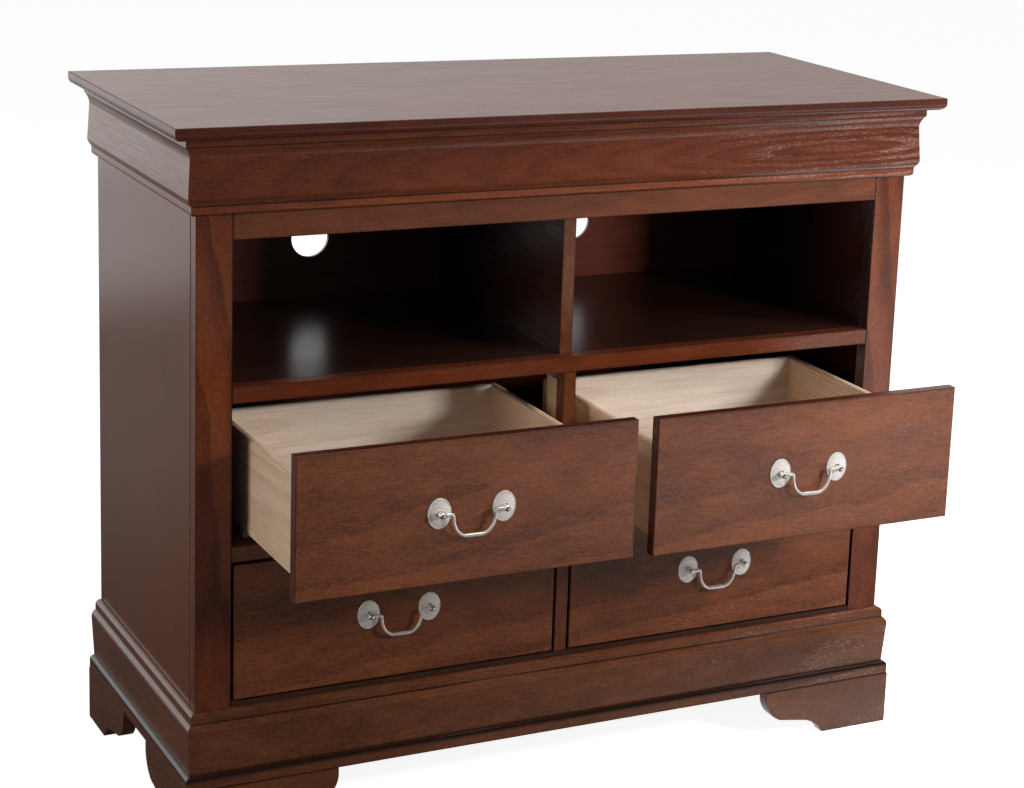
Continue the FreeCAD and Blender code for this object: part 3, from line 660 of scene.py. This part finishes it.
# Half of the bail, from its middle out: across, up and wire radius, in millimetres.
BAIL_ROUTE = ((0, -27.9, 2.5), (5, -27.9, 2.5), (14.6, -27.9, 2.1), (23.8, -19.5, 2.0),
              (27, -8, 1.95), (27.2, -0.6, 2.1), (31, 0.4, 2.4), (35.6, 0, 2.6), (36, 0, 3.0),
              (36.8, 0, 3.0), (37.1, 0, 2.1), (46.2, 0, 2.1))


def bail(drawer, middle):
    """Wire bail: a nurbs run swollen at its middle, with a collar beside each post."""
    half = millimetres(BAIL_ROUTE)
    route = [(-across, up, radius) for across, up, radius in reversed(half[1:])] + half
    line = bpy.data.curves.new(f"bail_line_{drawer}", "CURVE")
    line.dimensions = "3D"
    line.bevel_depth = 1
    line.bevel_resolution = 6
    line.resolution_u = 6
    line.use_fill_caps = True
    spline = line.splines.new("NURBS")
    spline.points.add(len(route) - 1)
    for point, (across, up, radius) in zip(spline.points, route):
        point.co = (middle.x + across, middle.y, middle.z + up, 1)
        point.radius = radius
    spline.order_u = 3
    spline.use_endpoint_u = True
    wire = bpy.data.objects.new("bail_line", line)
    mesh = bpy.data.meshes.new_from_object(wire)
    bpy.data.objects.remove(wire)
    piece = finish_piece(mesh, "handle", WIRE_NICKEL, drawer, f"bail_{drawer}")
    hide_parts(f"bail_{drawer}")


def pulls():
    """A pull on each drawer, placed by the boxes of the plain one it replaces."""
    for drawer in DRAWERS:
        front_low, front_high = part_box(f"drawer_front_{drawer}")
        mount_low, mount_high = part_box(f"pull_mounts_{drawer}")
        bail_low, bail_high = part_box(f"bail_{drawer}")
        rise = (mount_low.z + mount_high.z) / 2
        middle = Vector(((mount_low.x + mount_high.x) / 2, front_low.y, rise))
        spacing = mount_high.x - mount_low.x - ROSETTE_WIDTH
        axis = Vector((middle.x, (bail_low.y + bail_high.y) / 2, rise))
        rosettes(drawer, middle, spacing)
        posts(drawer, middle, spacing, front_low.y - axis.y)
        screws(drawer, middle, spacing, front_high.y - front_low.y)
        bail(drawer, axis)


pulls()


# ---------------------------------------------------------------- floor, light and camera

def is_seen(tree, *kinds):
    """1 for the rays of these kinds, such as Camera or Glossy."""
    path = add(tree, "LightPath").outputs
    total = path[f"Is {kinds[0]} Ray"]
    for kind in kinds[1:]:
        total = maths(tree, "MAXIMUM", total, path[f"Is {kind} Ray"])
    return total


WHITE = (1, 1, 1, 1)
FLOOR_SIZE = 30
FLOOR_TONE = paint(236, 236, 236)
BOUNCE_TONE = paint(128, 128, 128)      # the floor that lights the object from below
MIRROR_TONE = paint(60, 60, 60)         # the floor in reflections, before its glow
FLOOR_GLOW = 0.9                        # lifts the seen floor to white outside the shadow
AMBIENT = 0.09                          # strength of the room's light


def floor_glow(tree, place):
    """Painted glow of the floor, seen only in reflections, standing in for where the lamps light
    the floor: how bright it is, in bands along Y. Behind the object, which the top and the back
    mirror, it brightens with distance. In front, which the fronts mirror, it brightens to the
    right, as under the key light."""
    x, y, _ = add(tree, "SeparateXYZ", {0: place}).outputs
    back = maths(tree, "ADD", spread(tree, y, 0.3, 1.8, 0.05, 0.22),
                 spread(tree, y, 2.3, 3.1, 0.0, 0.53))
    back = maths(tree, "ADD", back, spread(tree, y, 4.0, 5.5, 0.0, 0.75))
    middle = maths(tree, "MULTIPLY", spread(tree, y, -2.9, -1.8),
                   spread(tree, y, -1.6, -0.95, 1.0, 0.2))
    near = maths(tree, "ADD", middle, spread(tree, y, -0.36, -0.15, 0.0, 1.4))
    ahead = maths(tree, "MULTIPLY", near, spread(tree, y, -0.1, 0.4, 1.0, 0.0))
    across = maths(tree, "ADD", spread(tree, x, -0.3, 1.4, 0.0, 1.9),
                   spread(tree, x, 1.1, 1.7, 0.0, 0.6))
    front = maths(tree, "MULTIPLY", ahead, across)
    far = maths(tree, "MULTIPLY", spread(tree, y, -4.3, -3.0, 1.0, 0.0),
                spread(tree, x, 1.8, 3.4, 0.0, 0.4))
    return maths(tree, "ADD", maths(tree, "ADD", back, front), far)


def floor():
    """Wide pale floor that keeps the object's shadow."""
    mesh = bpy.data.meshes.new("floor")
    sheet = bmesh.new()
    bmesh.ops.create_grid(sheet, x_segments=1, y_segments=1, size=FLOOR_SIZE)
    sheet.to_mesh(mesh)
    sheet.free()
    plane = bpy.data.objects.new("floor", mesh)
    bpy.context.scene.collection.objects.link(plane)
    material, tree, shader, place = new_material("floor")
    feed(tree, shader, {"Roughness": 1.0, "Specular IOR Level": 0.0, "Emission Color": WHITE})
    pale = mix(tree, is_seen(tree, "Diffuse"), FLOOR_TONE, BOUNCE_TONE)
    pale = mix(tree, is_seen(tree, "Glossy"), pale, MIRROR_TONE)
    mirrored = maths(tree, "MULTIPLY", is_seen(tree, "Glossy"), floor_glow(tree, place))
    glow = maths(tree, "MULTIPLY_ADD", is_seen(tree, "Camera", "Transmission"), FLOOR_GLOW,
                 mirrored)
    feed(tree, shader, {"Base Color": pale, "Emission Strength": glow})
    mesh.materials.append(material)


def world():
    """Dim neutral room that is seen as white. Mirrored, it is dark in front, light behind and
    brightest on the left."""
    room = bpy.data.worlds.new("room")
    bpy.context.scene.world = room
    room.use_nodes = True
    tree = room.node_tree
    tree.nodes.clear()
    x, y, _ = add(tree, "SeparateXYZ", {0: add(tree, "TexCoord").outputs["Generated"]}).outputs
    walls = maths(tree, "MULTIPLY", spread(tree, y, -0.7, 0.1, 0.02, 1.0),
                  spread(tree, x, -0.5, 0.6, 1.9, 0.7))
    mirrored = maths(tree, "MULTIPLY", is_seen(tree, "Glossy"), walls)
    seen = maths(tree, "MAXIMUM", is_seen(tree, "Camera", "Transmission"), mirrored)
    strength = maths(tree, "MAXIMUM", seen, AMBIENT)
    back = add(tree, "Background", {"Color": WHITE, "Strength": strength})
    add(tree, "OutputWorld", {"Surface": back})


def softbox(name, place, aim, size, watts, mirrored=False):
    """A square lamp that the camera doesn't see, turned from its place to what it lights."""
    lamp = bpy.data.lights.new(name, "AREA")
    lamp.shape = "SQUARE"
    lamp.size = size
    lamp.energy = watts
    holder = bpy.data.objects.new(name, lamp)
    holder.location = place
    holder.rotation_euler = (Vector(aim) - Vector(place)).to_track_quat("-Z", "Y").to_euler()
    holder.visible_camera = False
    holder.visible_glossy = mirrored
    bpy.context.scene.collection.objects.link(holder)


def lights():
    """A high and a low key from the front right, and fills above, left and behind."""
    softbox("key", (1.73, -1.25, 1.31), aim=(0.2, -0.2, 0.5), size=0.25, watts=17)
    softbox("low_key", (0.9, -1.25, 0.93), aim=(0.1, -0.2, 0.5), size=0.25, watts=13)
    softbox("top", (0.8, -0.5, 2.7), aim=(0, -0.2, 0.5), size=1.4, watts=19, mirrored=True)
    softbox("left", (-2.4, -0.65, 0.9), aim=(0, -0.2, 0.5), size=1.2, watts=16)
    softbox("rear", (1.8, 2.4, 1.8), aim=(0, 0, 0.5), size=1.6, watts=20)


PICTURE_WIDTH, PICTURE_HEIGHT = 1024, 788
FOCAL_LENGTH = 2370.76              # in pixels of the picture
LENS_AXIS = (622.62, 280.43)        # the pixel that the lens points at
SENSOR_WIDTH = 36                   # millimetres
CAMERA_PLACE = Vector((-1.33586, -2.71669, 1.35872))
CAMERA_YAW, CAMERA_PITCH, CAMERA_ROLL = 28.22734, 12.98538, 2.48567     # degrees


def camera():
    """The camera, turned right by its yaw, down by its pitch and then rolled."""
    yaw, pitch, roll = map(math.radians, (CAMERA_YAW, CAMERA_PITCH, CAMERA_ROLL))
    ahead = Vector((math.sin(yaw) * math.cos(pitch), math.cos(yaw) * math.cos(pitch),
                    -math.sin(pitch)))
    right = Vector((math.cos(yaw), -math.sin(yaw), 0))
    above = right.cross(ahead)
    tilted_right = right * math.cos(roll) + above * math.sin(roll)
    tilted_up = above * math.cos(roll) - right * math.sin(roll)
    lens = bpy.data.cameras.new("camera")
    lens.sensor_width = SENSOR_WIDTH
    lens.lens = FOCAL_LENGTH * SENSOR_WIDTH / PICTURE_WIDTH
    lens.shift_x = (PICTURE_WIDTH / 2 - LENS_AXIS[0]) / PICTURE_WIDTH
    lens.shift_y = (LENS_AXIS[1] - PICTURE_HEIGHT / 2) / PICTURE_WIDTH
    holder = bpy.data.objects.new("camera", lens)
    turn = Matrix((tilted_right, tilted_up, -ahead)).transposed().to_4x4()
    holder.matrix_world = Matrix.Translation(CAMERA_PLACE) @ turn
    bpy.context.scene.collection.objects.link(holder)
    bpy.context.scene.camera = holder


floor()
world()
lights()
camera()
bpy.context.scene.view_settings.view_transform = "Standard"
